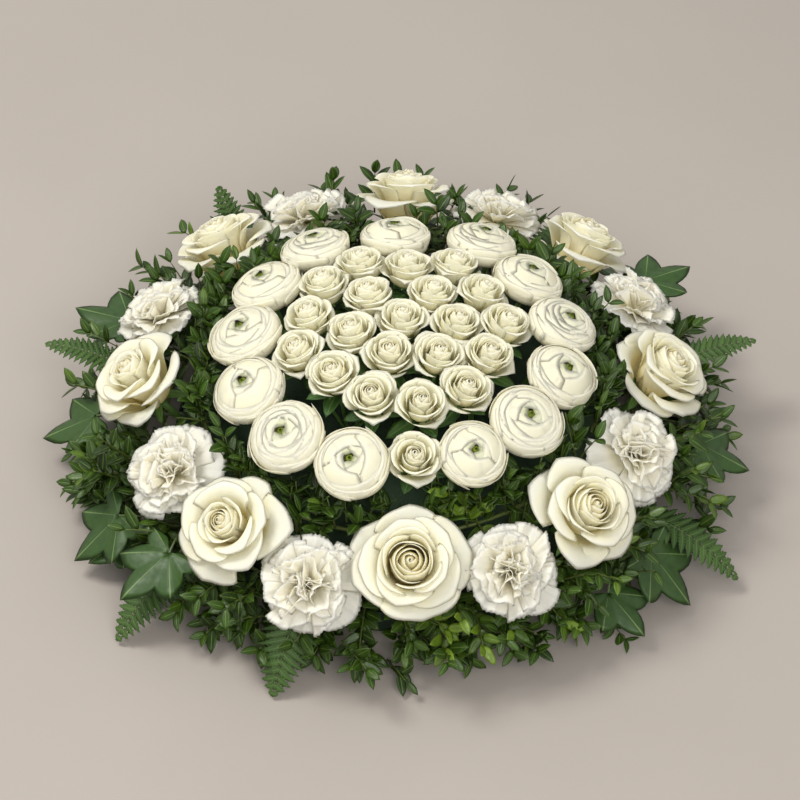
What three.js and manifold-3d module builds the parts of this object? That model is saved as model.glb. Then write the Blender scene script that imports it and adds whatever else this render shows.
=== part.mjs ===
// A round funeral wreath: a closed pad of floral foam in a plastic tray, covered with cut flowers and
// greenery. Roses and carnations alternate in an outer ring that leans outwards, and a boxwood collar stands
// inside them. Then comes a ring of ranunculus, and spray roses fill the middle. Boxwood, ivy and fern make a
// skirt round the pad. Every stem is pushed into its own socket in the foam.
// Millimetres, +Z up, origin under the middle of the tray.
// Angles are degrees about +Z: 0 is +X and -90 is the front.
import * as THREE from "three";
import { mergeVertices } from "three/addons/utils/BufferGeometryUtils.js";
import Module from "manifold-3d";

// ---- Driving dimensions ----
const GAP = 0.5; // between pieces that would touch
const TRAY = { radius: 181, height: 20, wall: 2, sides: 24 };
const FOAM = { radius: 172, top: 62, bevel: 14, sides: 24 };

// The flowers stand on a dome, nearly flat in the middle and falling away to the ring. They lean out with it.
const DOME = { top: 151, fall: 51, power: 2.6, radius: 202, tilt: 34, tiltPower: 0.75 };

const ROSE = { size: 39.5, stem: 2.6, reach: 92 };
const CARNATION = { size: 36, stem: 2.2, reach: 90 };
const RANUNCULUS = { size: 27, stem: 2, reach: 104 };
const SPRAY = { size: 18.5, stem: 2.4, twig: 1.3, fork: 76, foot: 34 };

// Outer flowers as [angle, radius, share of the size], from the front anticlockwise.
const ROSES = [
  [-87, 200, 1.05], [-47, 202], [1, 206], [46, 214], [88, 203], [134, 205], [182, 203], [233, 204],
];
const CARNATIONS = [
  [-67, 212], [-24, 203], [24, 211], [67, 208], [113, 203], [159, 209], [210, 203], [251, 216],
];
// Ranunculi too. A spray rose fills the gap in their ring at the front.
const RANUNCULI = [
  [-67, 125, 0.92], [-43, 125, 1.04], [-20, 126], [6, 125], [31, 118], [59, 111], [91, 104],
  [122, 108], [153, 113, 1.02], [180, 117, 1.04], [209, 123, 1.02], [233, 125, 1.05], [255, 125, 1.02],
];
// Spray roses as [x, y]. Each stem forks into three or four blooms.
const SPRAYS = [
  [[15, -79], [49, -65], [10, -123]],
  [[68, -30], [29, -33], [80, 8], [44, 3]],
  [[63, 42], [26, 44], [38, 65]],
  [[4, 12], [4, 70], [-25, 35], [-26, 68]],
  [[-38, -9], [-68, 12], [-56, 45]],
  [[-69, -25], [-6, -32], [-51, -48], [-23, -70]],
];

// Boxwood: a branch lies along the ring and sends out leafy shoots. Each shoot is [turn along the branch
// in degrees, tip radius, tip height]. It bends above the straight line to its tip, or below if it rises far.
const COLLAR = { radius: 156, height: 84, foot: 150, footHeight: 34, pairs: 2, bend: 0, vary: 2 };
const COLLAR_ANGLES = [-57, 8, 62, 121, 172, 240];
const COLLAR_SHOOTS = [
  [-24, 162, 128], [-14, 150, 132], [-4, 164, 126], [6, 151, 134], [15, 163, 128], [24, 150, 130],
];
const SKIRT = { radius: 186, height: 38, foot: 128, footHeight: 38, pairs: 3, bend: 5, vary: 7 };
const SKIRT_ANGLES = [-78, -16, 36, 101, 165, 220];
const SKIRT_SHOOTS = [
  [-25, 258, 16], [-19, 270, 54], [-12, 256, 88], [-5, 254, 10], [2, 270, 46], [9, 254, 84], [16, 258, 14],
  [23, 268, 48], [-9, 262, 34], [12, 264, 32],
];
const BOX = { branch: 1.7, shoot: 1, leaf: 22, belly: 4.6, lean: 52, blade: 1.6 };
const ROLLS = [14, -14, 34, -34, 60, -60];
const NUDGES = [[0, 0], [3, 0], [-3, 0], [0, -8], [0, 8], [5, -12], [-5, 12]];
const FRONT_TRIM = 0.06; // shoots at the front are shorter by this share

// Fern fronds: angle, reach and height of the tip, length and width of the blade, and how far it bends up.
const FERNS = [
  { angle: -111, reach: 266, tip: 5, length: 80, width: 44, bend: 9 },
  { angle: -138, reach: 286, tip: 6, length: 84, width: 42, bend: 10 },
  { angle: -28, reach: 292, tip: 14, length: 90, width: 40, bend: 10 },
  { angle: 12, reach: 288, tip: 74, length: 70, width: 34, bend: 6 },
  { angle: 58, reach: 272, tip: 44, length: 80, width: 38, bend: 8 },
  { angle: 125, reach: 258, tip: 100, length: 66, width: 34, bend: -6 },
  { angle: 169, reach: 284, tip: 76, length: 68, width: 34, bend: 6 },
];
const FERN = { stem: 1.3, blade: 1.5, teeth: 6, foot: 126, footHeight: 46, waist: 192, waistHeight: 52 };

// Ivy trails: the stem's angle, then its leaves as [angle, radius, height, length, fall in degrees].
const IVIES = [
  { angle: 178, leaves: [[157, 226, 56, 58, 5], [180, 226, 46, 60, 30]] },
  { angle: 214, leaves: [[206, 226, 46, 60, 38], [222, 222, 56, 60, 14], [208, 224, 22, 46, 14]] },
  { angle: -31, leaves: [[-36, 224, 42, 60, 40], [-47, 222, 26, 50, 18], [-9, 226, 52, 54, 30]] },
  { angle: 34, leaves: [[33, 229, 64, 54, 6], [41, 228, 44, 54, 38]] },
];
const IVY = { stem: 1.5, blade: 1.6, foot: 126, footHeight: 50, waist: 196, waistHeight: 44 };
// Half of an ivy leaf's outline from its notch to its tip, as shares of its length.
const IVY_OUTLINE = [[0.1, 0], [0, 0.2], [0.18, 0.46], [0.32, 0.3], [0.56, 0.42], [0.62, 0.18], [1, 0]];

// ---- Materials ----
const paint = (color, roughness) => new THREE.MeshStandardMaterial({ color, roughness, metalness: 0 });
const trayPlastic = paint(0x1f3a26, 0.5);
const foamGreen = paint(0x3f5f3c, 0.95);
const rosePetal = paint(0xf6f0de, 0.6);
const carnationPetal = paint(0xf8f7f2, 0.7);
const ranunculusPetal = paint(0xf7f4e6, 0.55);
const sprayPetal = paint(0xf4ecd0, 0.6);
const boxwoodLeaf = paint(0x2c5a22, 0.45);
const ivyLeaf = paint(0x254a26, 0.5);
const fernLeaf = paint(0x2f6a2a, 0.6);

// ---- Solids ----
const wasm = await Module();
wasm.setup();
const Z = new THREE.Vector3(0, 0, 1);

// A closed geometry as a solid that can be joined and cut.
function solidFrom(geometry) {
  const bare = geometry.clone();
  bare.deleteAttribute("normal");
  bare.deleteAttribute("uv");
  const merged = mergeVertices(bare, 1e-3);
  const vertProperties = merged.attributes.position.array;
  const triVerts = new Uint32Array(merged.index.array);
  return new wasm.Manifold(new wasm.Mesh({ numProp: 3, vertProperties, triVerts }));
}

const join = (solids) => solids.reduce((whole, next) => whole.add(next));

const wreath = new THREE.Group();
const placed = [];
const sockets = [];

function addPiece(name, solid, material) {
  const mesh = solid.getMesh();
  const geometry = new THREE.BufferGeometry();
  geometry.setAttribute("position", new THREE.BufferAttribute(mesh.vertProperties, 3));
  geometry.setIndex(new THREE.BufferAttribute(mesh.triVerts, 1));
  geometry.computeVertexNormals();
  const piece = new THREE.Mesh(geometry, material);
  piece.name = name;
  wreath.add(piece);
  placed.push(solid);
}

function boxOf(solid) {
  const { min, max } = solid.boundingBox();
  return new THREE.Box3(new THREE.Vector3(...min), new THREE.Vector3(...max));
}

// True if a geometry comes nowhere nearer than the gap to any piece placed so far, or to the ground.
function isClear(geometry) {
  const solid = solidFrom(geometry);
  const near = boxOf(solid).expandByScalar(GAP);
  if (near.min.z < GAP) return false;
  return placed.every((other) => !near.intersectsBox(boxOf(other)) || other.minGap(solid, 2 * GAP) >= GAP);
}

// ---- Places ----
const rad = THREE.MathUtils.degToRad;
const polar = (angle, radius, height) =>
  new THREE.Vector3(radius * Math.cos(rad(angle)), radius * Math.sin(rad(angle)), height);
const domeHeight = (radius) => DOME.top - DOME.fall * (radius / DOME.radius) ** DOME.power;

function onDome(point) {
  return point.setZ(domeHeight(Math.hypot(point.x, point.y)));
}

function domeAxis(point) {
  const radius = Math.hypot(point.x, point.y);
  const tilt = rad(DOME.tilt * (radius / DOME.radius) ** DOME.tiltPower);
  return new THREE.Vector3(point.x, point.y, 0).setLength(Math.sin(tilt)).setZ(Math.cos(tilt));
}

// Flowers that would overlap push each other apart until all have room.
function spread(flowers) {
  for (let round = 0; round < 120; round += 1) {
    flowers.forEach((a, i) => {
      for (const b of flowers.slice(i + 1)) {
        const apart = b.centre.clone().sub(a.centre);
        const lack = a.size + b.size + GAP - apart.length();
        if (lack > 0) {
          apart.setLength(lack / 2);
          onDome(a.centre.sub(apart));
          onDome(b.centre.add(apart));
        }
      }
    });
  }
}

// ---- Blooms: turned round +Z about the middle of the bloom ----
// Each row of the profile is [radius, height, lobes, lobe depth, turn]. Radius and height are shares of the
// size.
function bloomGeometry(rows, size, sides) {
  const points = rows.map(([radius, height]) => new THREE.Vector2(radius * size, height * size));
  const geometry = new THREE.LatheGeometry(points, sides);
  const position = geometry.attributes.position;
  for (let i = 0; i < position.count; i += 1) {
    const [, , lobes = 0, depth = 0, turn = 0] = rows[i % rows.length];
    const side = Math.floor(i / rows.length) % sides;
    const swell = 1 + depth * Math.cos((lobes * 2 * Math.PI * side) / sides + turn);
    position.setXYZ(i, position.getX(i) * swell, position.getY(i), position.getZ(i) * swell);
  }
  return geometry.rotateX(Math.PI / 2);
}

const standing = (geometry, centre, axis) =>
  geometry.applyQuaternion(new THREE.Quaternion().setFromUnitVectors(Z, axis)).translate(...centre);

const ROSE_ROWS = [
  [0.26, -0.76],
  [0.7, -0.5, 5, 0.05],
  [1.0, 0, 5, 0.06],
  [0.84, 0.1, 5, 0.05],
  [0.76, 0.34, 5, 0.06, Math.PI],
  [0.5, 0.3, 5, 0.05, Math.PI],
  [0.46, 0.56, 3, 0.08],
  [0.26, 0.5, 3, 0.05],
  [0.16, 0.64],
  [0, 0.58],
];
const CARNATION_ROWS = [
  [0.19, -0.9],
  [0.24, -0.36],
  [0.92, -0.16, 7, 0.04],
  [0.98, 0.08, 7, 0.06, Math.PI],
  [0.76, 0.36, 4, 0.06],
  [0.34, 0.56, 4, 0.1, Math.PI],
  [0, 0.5],
];
const RANUNCULUS_ROWS = [
  [0.6, -0.5],
  [1.0, -0.1, 5, 0.02],
  [0.94, 0.28, 5, 0.02, Math.PI],
  [0.66, 0.46, 5, 0.03],
  [0.32, 0.34],
  [0.16, 0.16],
  [0.1, 0.28],
  [0, 0.3],
];
const SPRAY_ROWS = [
  [0, -0.76],
  [0.34, -0.7],
  [0.86, -0.3, 3, 0.03],
  [1.0, 0.16, 3, 0.05],
  [0.64, 0.36, 3, 0.05, Math.PI],
  [0.48, 0.62],
  [0, 0.6],
];

// A tube of even thickness along a curve through the points, with closed ends.
function tube(points, radius, sides = 4, steps = 3) {
  const turn = (i) => ((i + 0.5) * 2 * Math.PI) / sides;
  const corner = (_, i) => new THREE.Vector2(radius * Math.cos(turn(i)), radius * Math.sin(turn(i)));
  const shape = new THREE.Shape(Array.from({ length: sides }, corner));
  const straight = points.length === 2;
  const extrudePath = straight ? new THREE.LineCurve3(...points) : new THREE.CatmullRomCurve3(points);
  return new THREE.ExtrudeGeometry(shape, { steps, bevelEnabled: false, extrudePath });
}

// A stem from its foot deep in the foam, with the socket that it needs.
function stem(points, radius, sides = 6, steps = 3) {
  sockets.push({ points, radius });
  return tube(points, radius, sides, steps);
}

// ---- Flowers ----
const seat = (kind) => ([angle, radius, share = 1]) =>
  ({ kind, size: kind.size * share, centre: onDome(polar(angle, radius, 0)) });
const roses = ROSES.map(seat(ROSE));
const carnations = CARNATIONS.map(seat(CARNATION));
const ranunculi = RANUNCULI.map(seat(RANUNCULUS));
const sprays = SPRAYS.map((blooms) =>
  blooms.map(([x, y]) => ({ size: SPRAY.size, centre: onDome(new THREE.Vector3(x, y, 0)) })),
);
spread([...roses, ...carnations, ...ranunculi, ...sprays.flat()]);

// A flower on a straight stem: the stem is the start of the turned profile.
function standFlower(name, { kind, size, centre }, rows, sides, material) {
  const share = kind.stem / size;
  const profile = [[0, -kind.reach / size], [share, -kind.reach / size], [share, rows[0][1] - 0.12], ...rows];
  const axis = domeAxis(centre);
  sockets.push({ points: [centre.clone().addScaledVector(axis, -kind.reach), centre], radius: kind.stem });
  addPiece(name, solidFrom(standing(bloomGeometry(profile, size, sides), centre, axis)), material);
}

roses.forEach((rose, i) => standFlower(`rose_${i + 1}`, rose, ROSE_ROWS, 15, rosePetal));
carnations.forEach((one, i) => standFlower(`carnation_${i + 1}`, one, CARNATION_ROWS, 14, carnationPetal));
ranunculi.forEach((one, i) => standFlower(`ranunculus_${i + 1}`, one, RANUNCULUS_ROWS, 10, ranunculusPetal));

sprays.forEach((blooms, i) => {
  const middle = blooms.reduce((sum, { centre }) => sum.add(centre), new THREE.Vector3());
  const fork = middle.divideScalar(blooms.length).setZ(SPRAY.fork);
  const ends = [fork.clone().setZ(SPRAY.foot), fork.clone().setZ(SPRAY.fork + 1)];
  const parts = [solidFrom(stem(ends, SPRAY.stem, 6, 1))];
  for (const { size, centre } of blooms) {
    const axis = domeAxis(centre);
    parts.push(solidFrom(standing(bloomGeometry(SPRAY_ROWS, size, 7), centre, axis)));
    const neck = centre.clone().addScaledVector(axis, -1.1 * size);
    const top = centre.clone().addScaledVector(axis, -0.6 * size);
    parts.push(solidFrom(tube([fork, neck, top], SPRAY.twig, 4, 2)));
  }
  addPiece(`spray_rose_${i + 1}`, join(parts), sprayPetal);
});

// ---- Greenery ----
// Puts a flat geometry, drawn along +X with +Z its face, at a base point, facing along a direction.
function lay(geometry, base, along, face) {
  const x = along.clone().normalize();
  const y = face.clone().cross(x).normalize();
  const z = x.clone().cross(y);
  return geometry.applyMatrix4(new THREE.Matrix4().makeBasis(x, y, z).setPosition(base));
}

// A flat blade with a closed outline [x, y], curved up by the bend in the middle.
function blade(outline, thickness, length, bend) {
  const shape = new THREE.Shape(outline.map(([x, y]) => new THREE.Vector2(x, y)));
  const geometry = new THREE.ExtrudeGeometry(shape, { depth: thickness, bevelEnabled: false });
  const position = geometry.attributes.position;
  for (let i = 0; i < position.count; i += 1) {
    const along = position.getX(i) / length;
    position.setZ(i, position.getZ(i) - thickness / 2 + 4 * bend * along * (1 - along));
  }
  return geometry;
}

// One side of a leafy shoot, from its foot to its tip: pairs of leaves, then one leaf that carries it on.
function shootEdge(length, pairs) {
  const [cos, sin] = [Math.cos(rad(BOX.lean)), Math.sin(rad(BOX.lean))];
  const edge = [[0, BOX.shoot]];
  for (let k = 0; k < pairs; k += 1) {
    const at = length - BOX.leaf * (0.72 + 0.6 * (pairs - k - 1)) - 0.2 * BOX.leaf;
    const belly = [at + 0.5 * BOX.leaf * cos - BOX.belly * sin, 0.5 * BOX.leaf * sin + BOX.belly * cos];
    edge.push([at, BOX.shoot], belly, [at + BOX.leaf * cos, BOX.leaf * sin]);
  }
  return [...edge, [length - 0.8 * BOX.leaf, BOX.shoot], [length - 0.4 * BOX.leaf, BOX.belly]];
}

// A leafy shoot between two points, rolled about its own line until it has room. Null if it never has.
function boxShoot(from, tip, pairs, bend, first) {
  const along = tip.clone().sub(from);
  const length = along.length();
  const edge = shootEdge(length, pairs);
  const outline = [...edge, [length, 0], ...edge.map(([x, y]) => [x, -y]).reverse()];
  const level = along.clone().cross(Z).cross(along).normalize();
  for (let i = 0; i < ROLLS.length; i += 1) {
    const roll = rad(ROLLS[(first + i) % ROLLS.length]);
    const face = level.clone().applyAxisAngle(along.clone().normalize(), roll);
    const shoot = lay(blade(outline, BOX.blade, length, bend), from, along, face);
    if (isClear(shoot)) return shoot;
  }
  return null;
}

// The first shoot with room among the tips near the wanted one.
function fitShoot(from, kind, turn, radius, height, first) {
  const bend = height > kind.height * 1.6 ? -kind.bend : kind.bend;
  for (const [aside, up] of NUDGES) {
    const front = Math.max(0, -Math.sin(rad(turn + aside)));
    const tip = polar(turn + aside, radius * (1 - FRONT_TRIM * front ** 3), Math.max(height + up, 8));
    const shoot = boxShoot(from, tip, kind.pairs, bend, first);
    if (shoot) return shoot;
  }
  return null;
}

// A branch along the ring: its stem comes out of the foam, and shoots leave it, no two quite alike.
function boxBranch(name, kind, angle, shoots) {
  const turns = shoots.map(([turn]) => turn).sort((a, b) => a - b);
  const along = turns.map((turn) => polar(angle + turn, kind.radius, kind.height));
  const foot = polar(angle, kind.foot, kind.footHeight);
  const middle = polar(angle, kind.radius, kind.height);
  const parts = [stem([foot, middle], BOX.branch, 5, 1), tube(along, BOX.branch, 4, shoots.length)];
  shoots.forEach(([turn, radius, height], i) => {
    const vary = Math.sin(angle * (i + 1.3));
    const from = polar(angle + turn, kind.radius, kind.height);
    const [reach, rise] = [radius + kind.vary * vary, height + kind.vary * Math.abs(vary)];
    const shoot = fitShoot(from, kind, angle + turn + 1.5 * vary, reach, rise, i);
    if (shoot) parts.push(shoot);
  });
  addPiece(name, join(parts.map(solidFrom)), boxwoodLeaf);
}

// A frond: a tapering toothed blade on a stem that comes out from under the flowers.
FERNS.forEach(({ angle, reach, tip, length, width, bend }, i) => {
  const end = polar(angle, reach, tip);
  const waist = polar(angle, FERN.waist, FERN.waistHeight);
  const back = waist.clone().sub(end).setLength(length);
  const base = end.clone().add(back);
  const edge = [];
  for (let k = 0; k < FERN.teeth; k += 1) {
    const at = k / FERN.teeth;
    const half = (width / 2) * (1 - at) ** 0.8 * Math.min(1, 0.5 + 2.2 * at);
    edge.push([length * at, half * 0.45], [length * (at + 0.75 / FERN.teeth), half]);
  }
  const outline = [...edge, [length, 0], ...edge.map(([x, y]) => [x, -y]).reverse()];
  const along = end.clone().sub(base);
  const face = along.clone().cross(Z).cross(along);
  const frond = lay(blade(outline, FERN.blade, length, bend), base, along, face);
  const foot = polar(angle, FERN.foot, FERN.footHeight);
  const stalk = tube([waist, base.clone().addScaledVector(along, 0.06)], FERN.stem, 4, 1);
  const parts = [frond, stalk, stem([foot, waist], FERN.stem, 4, 1)];
  addPiece(`fern_frond_${i + 1}`, join(parts.map(solidFrom)), fernLeaf);
});

// A trail: a short stem with lobed leaves on stalks.
IVIES.forEach(({ angle, leaves }, i) => {
  const foot = polar(angle, IVY.foot, IVY.footHeight);
  const waist = polar(angle, IVY.waist, IVY.waistHeight);
  const parts = [stem([foot, waist], IVY.stem, 5, 1)];
  for (const [turn, radius, height, length, fall] of leaves) {
    const base = polar(turn, radius, height);
    const along = polar(turn, Math.cos(rad(fall)), -Math.sin(rad(fall)));
    const face = polar(turn, Math.sin(rad(fall)), Math.cos(rad(fall)));
    const half = IVY_OUTLINE.map(([x, y]) => [x * length, y * length]);
    const outline = [...half, ...half.slice(1, -1).map(([x, y]) => [x, -y]).reverse()];
    parts.push(lay(blade(outline, IVY.blade, length, 3), base, along, face));
    parts.push(tube([waist, base.clone().addScaledVector(along, 0.2 * length)], IVY.stem, 4, 1));
  }
  addPiece(`ivy_trail_${i + 1}`, join(parts.map(solidFrom)), ivyLeaf);
});

COLLAR_ANGLES.forEach((angle, i) => boxBranch(`boxwood_collar_${i + 1}`, COLLAR, angle, COLLAR_SHOOTS));
SKIRT_ANGLES.forEach((angle, i) => boxBranch(`boxwood_skirt_${i + 1}`, SKIRT, angle, SKIRT_SHOOTS));

// ---- Foam and tray ----
function turned(profile, sides) {
  const points = profile.map(([x, y]) => new THREE.Vector2(x, y));
  return new THREE.LatheGeometry(points, sides).rotateX(Math.PI / 2);
}

const foamFloor = TRAY.wall + GAP;
const foamBlock = turned(
  [
    [0, foamFloor],
    [FOAM.radius, foamFloor],
    [FOAM.radius, FOAM.top - FOAM.bevel],
    [FOAM.radius - FOAM.bevel, FOAM.top],
    [0, FOAM.top],
  ],
  FOAM.sides,
);
const holes = sockets.map(({ points: [foot, next], radius }) => {
  const back = foot.clone().sub(next).setLength(2 * GAP);
  return solidFrom(tube([foot.clone().add(back), next], (radius + GAP) / Math.cos(Math.PI / 4), 4, 1));
});
addPiece("foam", solidFrom(foamBlock).subtract(join(holes)), foamGreen);

const trayShell = turned(
  [
    [0, 0],
    [TRAY.radius, 0],
    [TRAY.radius, TRAY.height],
    [TRAY.radius - TRAY.wall, TRAY.height],
    [TRAY.radius - TRAY.wall, TRAY.wall],
    [0, TRAY.wall],
  ],
  TRAY.sides,
);
addPiece("tray", solidFrom(trayShell), trayPlastic);

export default wreath;
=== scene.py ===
"""The look of the funeral wreath: petals, leaves, tray and light, placed on the CAD model's own solids.

Shapes are worked out in millimetres, and Cloth.make writes them in metres. Turns round the wreath are in
degrees, from +X. Turns inside a flower or a leaf are in radians.
"""
import math
from collections import namedtuple

import bpy
import numpy as np
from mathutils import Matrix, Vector


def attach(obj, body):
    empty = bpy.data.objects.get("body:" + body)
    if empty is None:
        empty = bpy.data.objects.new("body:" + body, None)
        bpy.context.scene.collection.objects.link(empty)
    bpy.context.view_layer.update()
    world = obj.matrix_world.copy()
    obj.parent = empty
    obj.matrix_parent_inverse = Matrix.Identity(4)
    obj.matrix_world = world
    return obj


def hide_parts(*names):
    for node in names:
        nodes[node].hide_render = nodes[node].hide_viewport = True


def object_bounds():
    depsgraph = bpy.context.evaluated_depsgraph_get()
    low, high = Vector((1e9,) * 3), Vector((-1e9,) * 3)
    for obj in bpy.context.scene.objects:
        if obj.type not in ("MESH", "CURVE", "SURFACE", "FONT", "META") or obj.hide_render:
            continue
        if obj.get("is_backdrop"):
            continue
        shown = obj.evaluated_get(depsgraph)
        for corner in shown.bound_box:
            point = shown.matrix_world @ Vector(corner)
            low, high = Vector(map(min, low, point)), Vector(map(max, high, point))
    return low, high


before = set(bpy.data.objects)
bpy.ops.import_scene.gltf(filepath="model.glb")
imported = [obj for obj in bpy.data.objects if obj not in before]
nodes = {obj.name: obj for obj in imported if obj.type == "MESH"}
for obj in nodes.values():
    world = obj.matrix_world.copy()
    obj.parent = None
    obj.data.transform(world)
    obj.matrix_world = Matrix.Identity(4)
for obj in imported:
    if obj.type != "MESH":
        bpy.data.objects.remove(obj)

MM = 0.001
CAD_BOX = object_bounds()

# ---------------------------------------------------------------- sizes

# Flowers that stand one to a stem: how many, the first one's seed, how far up its stem a bloom's middle is,
# how much wider than the bloom its solid is, how much the petals grow past that, and the green parts below.
ROSES = dict(
    count=8, seed=100, reach=92, swell=1.06, grow=1.05,
    green=dict(stem=2.6, radius=6.0, height=-27, length=27),
)
CARNATIONS = dict(
    count=8, seed=200, reach=90, swell=1.035, grow=1.07,
    green=dict(stem=2.2, radius=7.0, height=-26, length=14, rise=0.5),
)
RANUNCULUSES = dict(
    count=13, seed=300, reach=104, swell=1.02, grow=1.04,
    green=dict(stem=2.0, radius=5.0, height=-16, length=13, rise=0.3),
)
OPENNESS = [1.0, 0.97, 1.0, 0.95, 0.9, 0.95, 0.72, 0.75]  # how far each large rose has opened
# The ranunculus in turn: how far out the rims begin, as a share of the radius, and how many show.
COVERS = [(0.68, 12), (0.55, 15), (0.72, 11), (0.42, 18)]

# Sprays of small roses: several blooms to a stem, which divides at the height fork and has a neck under each
# bloom. The solid of a bloom has one corner on top, and a ring of corners round it at the distance crown.
SPRAYS = dict(radius=18.5, grow=1.24, crown=8.888, ring=7, fork=76.0, neck=20)
SPRAY_COUNT, SPRAY_SEED = 6, 400
SPRAY_GREEN = dict(stem=1.3, radius=3.6, height=-13, length=13)

# The radius that each kind of bloom is drawn at in its own function.
ROSE_DRAWN, CARNATION_DRAWN, RANUNCULUS_DRAWN, SPRAY_DRAWN = 39, 35.5, 27, 18.5

# Thickness of the sheets.
ROSE_THICK, CARNATION_THICK, RANUNCULUS_THICK, SPRAY_THICK, SCALE_THICK = 0.45, 0.4, 0.35, 0.4, 0.3
LEAF_THICK, FERN_THICK = 0.5, 0.35

# Fern fronds: angle, reach and height of the tip, length and width of the blade, and how far it bends up.
FERNS = [
    (-111, 262, 5, 80, 50, 9), (-138, 286, 6, 84, 46, 10), (-28, 292, 14, 90, 40, 10),
    (12, 288, 74, 70, 34, 6), (58, 272, 44, 80, 38, 8), (125, 258, 100, 66, 34, -6),
    (169, 284, 76, 68, 34, 6),
]
FERN_ROOT, FERN_WAIST = (126, 46), (192, 52)  # radius and height where a stalk leaves the foam, and its bend
FERN_PAIRS, FERN_SEED = 13, 700

# Ivy trails: the trail's angle, and for each leaf its angle, radius, height and length, and how far it hangs
# over, in degrees.
IVIES = [
    (178, [(157, 226, 56, 58, 5), (180, 226, 46, 60, 30)]),
    (214, [(206, 226, 46, 60, 38), (222, 222, 56, 60, 14), (208, 224, 22, 46, 14)]),
    (-31, [(-36, 224, 42, 60, 40), (-47, 222, 26, 50, 18), (-9, 226, 52, 54, 30)]),
    (34, [(33, 229, 64, 54, 6), (41, 228, 44, 54, 38)]),
]
IVY_ROOT, IVY_WAIST = (126, 50), (196, 44)
IVY_LIFT = 10  # the leaves stand this far off the boxwood
IVY_SEED = 800
# Half of an ivy leaf's outline, from its foot round to its tip: angle and reach of each lobe and each notch.
IVY_LOBES = [(-128, 0.26), (-104, 0.54), (-78, 0.42), (-50, 0.76), (-24, 0.6), (0, 1.0)]

# Boxwood branches: where a branch leaves the foam and where its arc runs (radius, height), and half the arc's
# angle. Shoots are (how many, tip radii, tip heights, how far they bend up). Tufts are short side shoots that
# fill the cover between them: (how many, radii, heights, tilt outwards).
COLLAR = dict(
    foot=(150, 34), arc=(156, 84), span=27, back_drop=14,
    shoots=[(10, (146, 166), (112, 132), 0), (5, (178, 205), (70, 96), 4)],
    tufts=[(20, (142, 168), (70, 96), 10), (12, (168, 200), (58, 78), 30)],
)
SKIRT = dict(
    foot=(128, 38), arc=(186, 38), span=30, back_drop=0,
    shoots=[
        (7, (240, 256), (6, 22), 4), (8, (252, 266), (30, 52), 6), (5, (247, 262), (58, 80), 5),
        (4, (232, 250), (88, 104), -2),
    ],
    tufts=[(14, (200, 236), (34, 62), 50), (15, (208, 232), (6, 30), 72), (8, (186, 206), (8, 30), 64)],
)
# Name, the branches' angles, the first one's seed, and their kind.
BOXWOOD = [
    ("boxwood_collar", [-57, 8, 62, 121, 172, 240], 500, COLLAR),
    ("boxwood_skirt", [-78, -16, 36, 101, 165, 220], 600, SKIRT),
]
SHOOT_TRIM, TUFT_TRIM = 0.105, 0.05  # the front of the wreath is trimmed closer by these shares
YOUNG_ANGLE, YOUNG_SPREAD = -72, 16  # where the youngest boxwood is
BOX_LEAF, BOX_PLUMP = 20.0, 0.48  # length of a boxwood leaf, and its width as a share of that
TABLE_GAP = 3.0  # what would dip into the table bends to lie on it from this height down

# Camera and light, in metres.
AIM = Vector((0.0007, 0, 0.068))
ELEVATION, DISTANCE, LENS, SENSOR = 45.8, 2.6, 149.3, 36
TABLE_HALF = 9
WORLD_COLOUR, WORLD_STRENGTH = (0.97, 0.98, 1.0, 1), 0.68

# ---------------------------------------------------------------- small maths

UP = np.array([0.0, 0.0, 1.0])
FULL = 2 * math.pi
GOLDEN = math.radians(137.508)  # each petal or pair grows this far round from the last
ANY_TURN = (0, 6.28)  # range of a random turn or phase


def unit(v):
    v = np.asarray(v, float)
    return v / np.maximum(np.linalg.norm(v, axis=-1, keepdims=True), 1e-12)


def smooth(lo, hi, x):
    """0 below lo, 1 above hi, and an even S between them."""
    t = np.clip((np.asarray(x, float) - lo) / (hi - lo), 0, 1)
    return t * t * (3 - 2 * t)


def spread(across, along):
    """A column from -1 to 1 and a row from 0 to 1, which together span a grid."""
    return np.linspace(-1, 1, across)[:, None], np.linspace(0, 1, along)[None, :]


def bezier(points, t):
    """A cubic curve through space: points is four (..., k) arrays, t a column of parameters."""
    a, b, c, d = (np.asarray(p, float) for p in points)
    t = np.asarray(t, float)[..., None]
    s = 1 - t
    return s**3 * a + 3 * s * s * t * b + 3 * s * t * t * c + t**3 * d


def along_path(path, t, at):
    """The point and direction of a path at a share of its length, t being its points' own shares."""
    back, here, ahead = (
        np.array([np.interp(share, t, path[:, c]) for c in range(3)])
        for share in (max(at - 0.08, 0), at, min(at + 0.08, 1))
    )
    return here, unit(ahead - back)


def basis(axis):
    """Columns x, y, z of a right-handed frame whose z is the axis and whose y leans upwards."""
    z = unit(axis)
    x = np.cross(UP, z)
    if np.linalg.norm(x) < 1e-6:
        x = np.array([1.0, 0, 0])
    x = unit(x)
    return np.stack([x, np.cross(z, x), z], axis=1)


def square_to(way, towards=UP):
    """The direction square to a way that is nearest to another."""
    return unit(np.cross(np.cross(way, towards), way))


def polar(angle, radius, height):
    turn = math.radians(angle)
    return np.array([radius * math.cos(turn), radius * math.sin(turn), height])


# ---------------------------------------------------------------- meshes

WOOD = (0.5, -1.0, 0.5, 0.0)  # marks of a twig: the second number says that it is no leaf


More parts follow.
